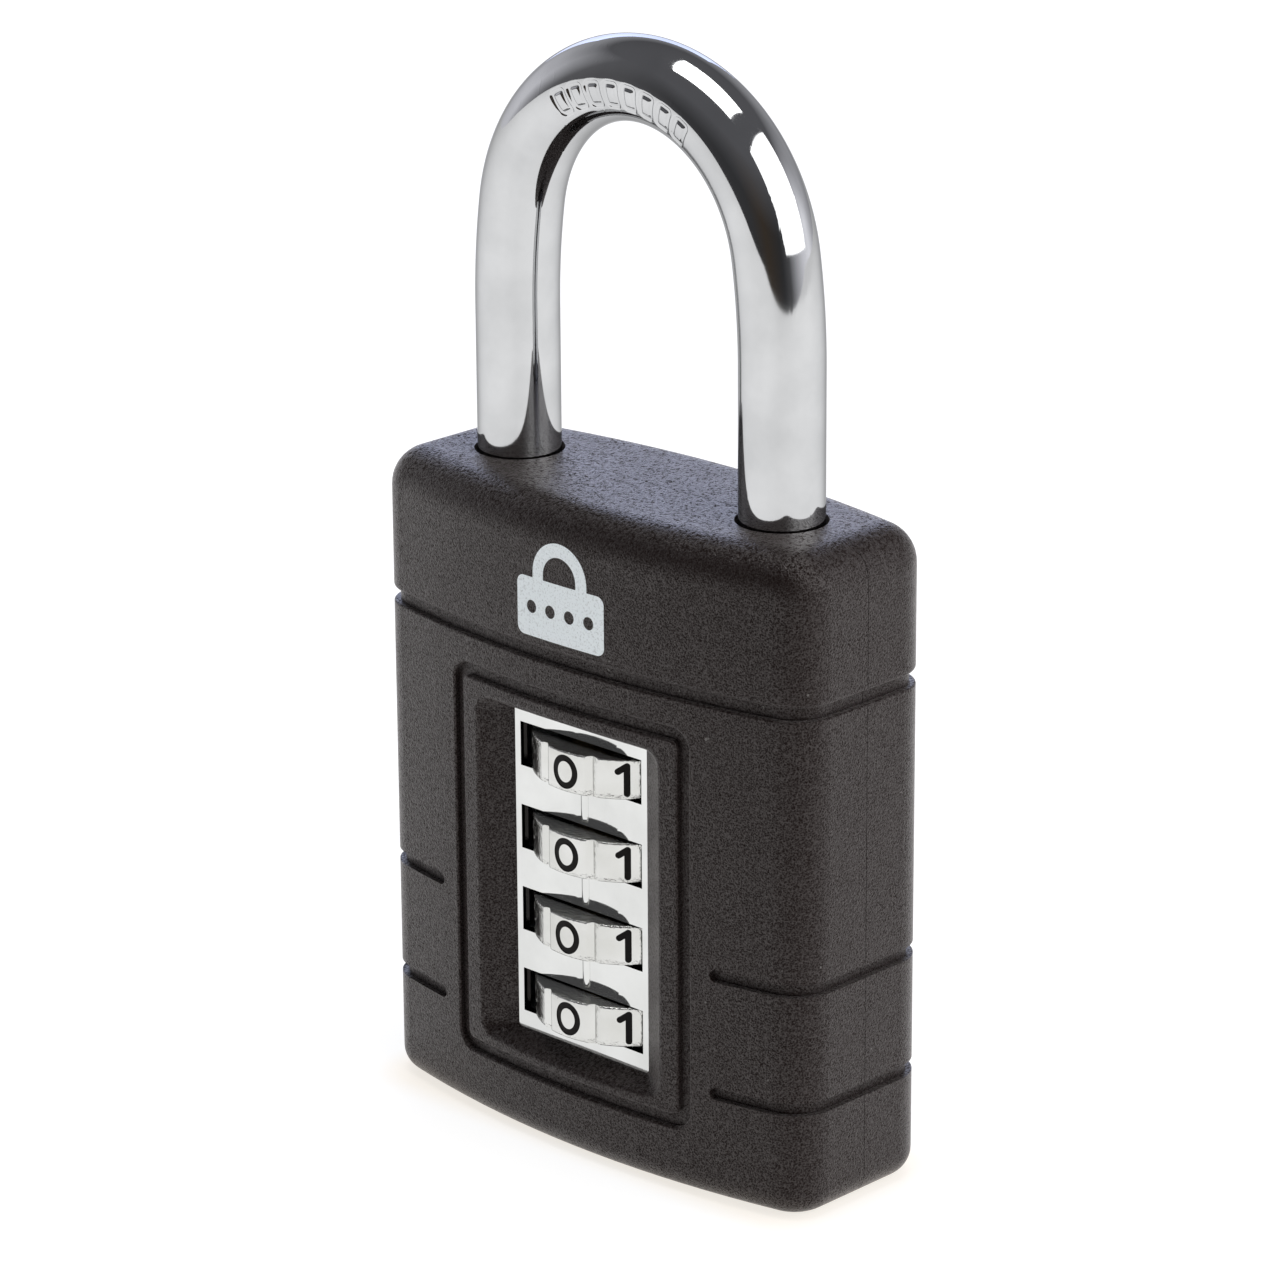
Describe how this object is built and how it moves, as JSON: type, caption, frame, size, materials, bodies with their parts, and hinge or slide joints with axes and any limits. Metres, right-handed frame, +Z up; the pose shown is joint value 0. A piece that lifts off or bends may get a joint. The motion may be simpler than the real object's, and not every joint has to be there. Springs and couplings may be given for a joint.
{
  "type": "combination padlock",
  "caption": "Combination padlock: round steel shackle that lifts, numbered dials in a recessed window, moulded black cover with grooves round it.",
  "frame": {"origin": "middle of the base, on the surface that the lock stands on", "axes": "+Z up towards the shackle, -Y is the dial face, +X to the right of somebody reading the dials"},
  "size_m": [0.065, 0.028, 0.126],
  "materials": {
    "cover_abs": "fine moulded grain, brown-black",
    "shackle_chrome": "polished plating",
    "plate_chrome": "mirror plating",
    "dial_chrome": "plated casting",
    "numeral_black": "gloss paint filling",
    "print_white": "printed ink",
    "die_cast_zinc": "as cast",
    "bright_steel": "zinc plated",
    "spindle_steel": "turned and pressed",
    "spring_steel": "spring wire and strip",
    "sleeve_brass": "turned"
  },
  "bodies": {
    "lock_body": {"front_cover": "cover_abs", "rear_cover": "cover_abs", "cover_pins": "bright_steel", "core_block": "die_cast_zinc", "base_plate": "bright_steel", "base_rivets": "bright_steel", "core_back_plate": "bright_steel", "back_plate_screws": "bright_steel", "dial_plate": "plate_chrome", "emblem_print": "print_white", "detent_spring_1": "spring_steel", "detent_spring_2": "spring_steel", "detent_spring_3": "spring_steel", "detent_spring_4": "spring_steel", "shackle_spring": "spring_steel", "reset_spring": "spring_steel", "thrust_washer": "bright_steel"},
    "shackle_unit": {"shackle": "shackle_chrome", "link_plate": "spindle_steel", "spindle": "spindle_steel", "spindle_clip": "spring_steel"},
    "dial_1_unit": {"dial_1": "dial_chrome", "dial_1_numerals": "numeral_black", "code_sleeve_1": "sleeve_brass"},
    "dial_2_unit": {"dial_2": "dial_chrome", "dial_2_numerals": "numeral_black", "code_sleeve_2": "sleeve_brass"},
    "dial_3_unit": {"dial_3": "dial_chrome", "dial_3_numerals": "numeral_black", "code_sleeve_3": "sleeve_brass"},
    "dial_4_unit": {"dial_4": "dial_chrome", "dial_4_numerals": "numeral_black", "code_sleeve_4": "sleeve_brass"}
  },
  "joints": [
    {"name": "shackle_lift", "type": "slide", "parent": "lock_body", "child": "shackle_unit", "axis": [0, 0, 1], "range_m": [0, 0.0098], "deforming": ["shackle_spring"]},
    {"name": "dial_1_turn", "type": "hinge", "parent": "lock_body", "child": "dial_1_unit", "pos_m": [0, -0.00285, 0.04595], "axis": [0, 0, 1], "continuous": true},
    {"name": "dial_2_turn", "type": "hinge", "parent": "lock_body", "child": "dial_2_unit", "pos_m": [0, -0.00285, 0.03615], "axis": [0, 0, 1], "continuous": true},
    {"name": "dial_3_turn", "type": "hinge", "parent": "lock_body", "child": "dial_3_unit", "pos_m": [0, -0.00285, 0.02635], "axis": [0, 0, 1], "continuous": true},
    {"name": "dial_4_turn", "type": "hinge", "parent": "lock_body", "child": "dial_4_unit", "pos_m": [0, -0.00285, 0.01655], "axis": [0, 0, 1], "continuous": true}
  ]
}
